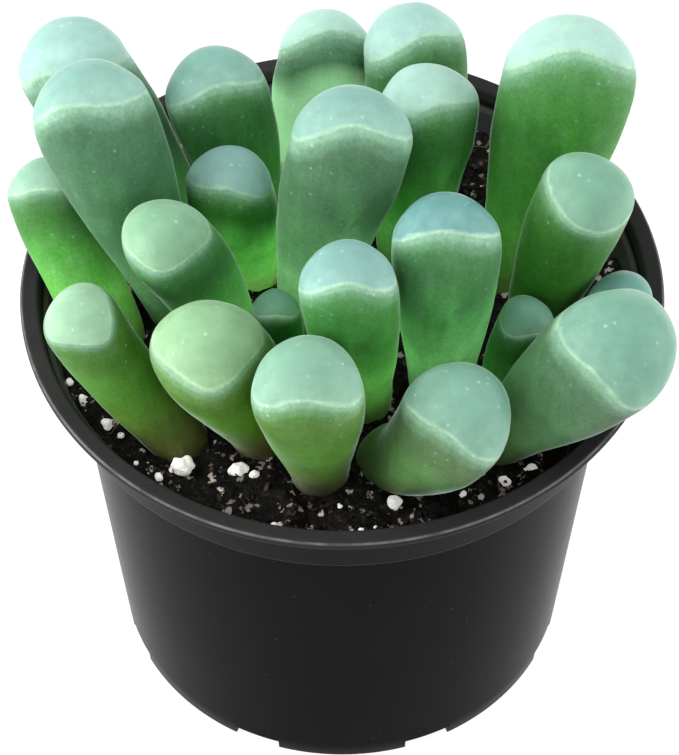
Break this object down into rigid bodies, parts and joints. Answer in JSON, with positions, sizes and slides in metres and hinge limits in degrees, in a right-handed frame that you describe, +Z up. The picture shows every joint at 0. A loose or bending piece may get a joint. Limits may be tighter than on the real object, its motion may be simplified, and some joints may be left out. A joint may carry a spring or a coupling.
{
  "type": "potted baby toes succulent",
  "caption": "Small succulent with upright club-shaped leaves, each ending in a domed translucent window, growing in soil in a round black nursery pot.",
  "frame": {"origin": "on the surface that the pot stands on, under the middle of the pot", "axes": "+Z up, -Y towards the front, +X to the right as seen from the front"},
  "size_m": [0.0669, 0.066, 0.081],
  "materials": {
    "pot": "black, satin, faint moulding marks",
    "soil": "dark moist peat with brown bits and fibres",
    "leaf": "waxy blue-green above, saturated green below, bluish translucent window",
    "pale_leaf": "waxy yellow-green with a pale translucent window",
    "perlite": "chalky white, pitted"
  },
  "bodies": {
    "root": {"pot": "pot", "soil": "soil", "leaf_01": "leaf", "leaf_02": "leaf", "leaf_03": "leaf", "leaf_04": "leaf", "leaf_05": "leaf", "leaf_06": "leaf", "leaf_07": "leaf", "leaf_08": "leaf", "leaf_09": "leaf", "leaf_10": "leaf", "leaf_11": "leaf", "leaf_12": "leaf", "leaf_13": "pale_leaf", "leaf_14": "leaf", "leaf_15": "leaf", "leaf_16": "leaf", "leaf_17": "leaf", "leaf_18": "leaf", "leaf_19": "leaf", "leaf_20": "leaf", "leaf_21": "leaf", "leaf_22": "leaf", "leaf_23": "leaf", "leaf_24": "leaf", "perlite_01": "perlite", "perlite_02": "perlite", "perlite_03": "perlite", "perlite_04": "perlite", "perlite_05": "perlite", "perlite_06": "perlite", "perlite_07": "perlite", "perlite_08": "perlite", "perlite_09": "perlite"}
  },
  "joints": []
}
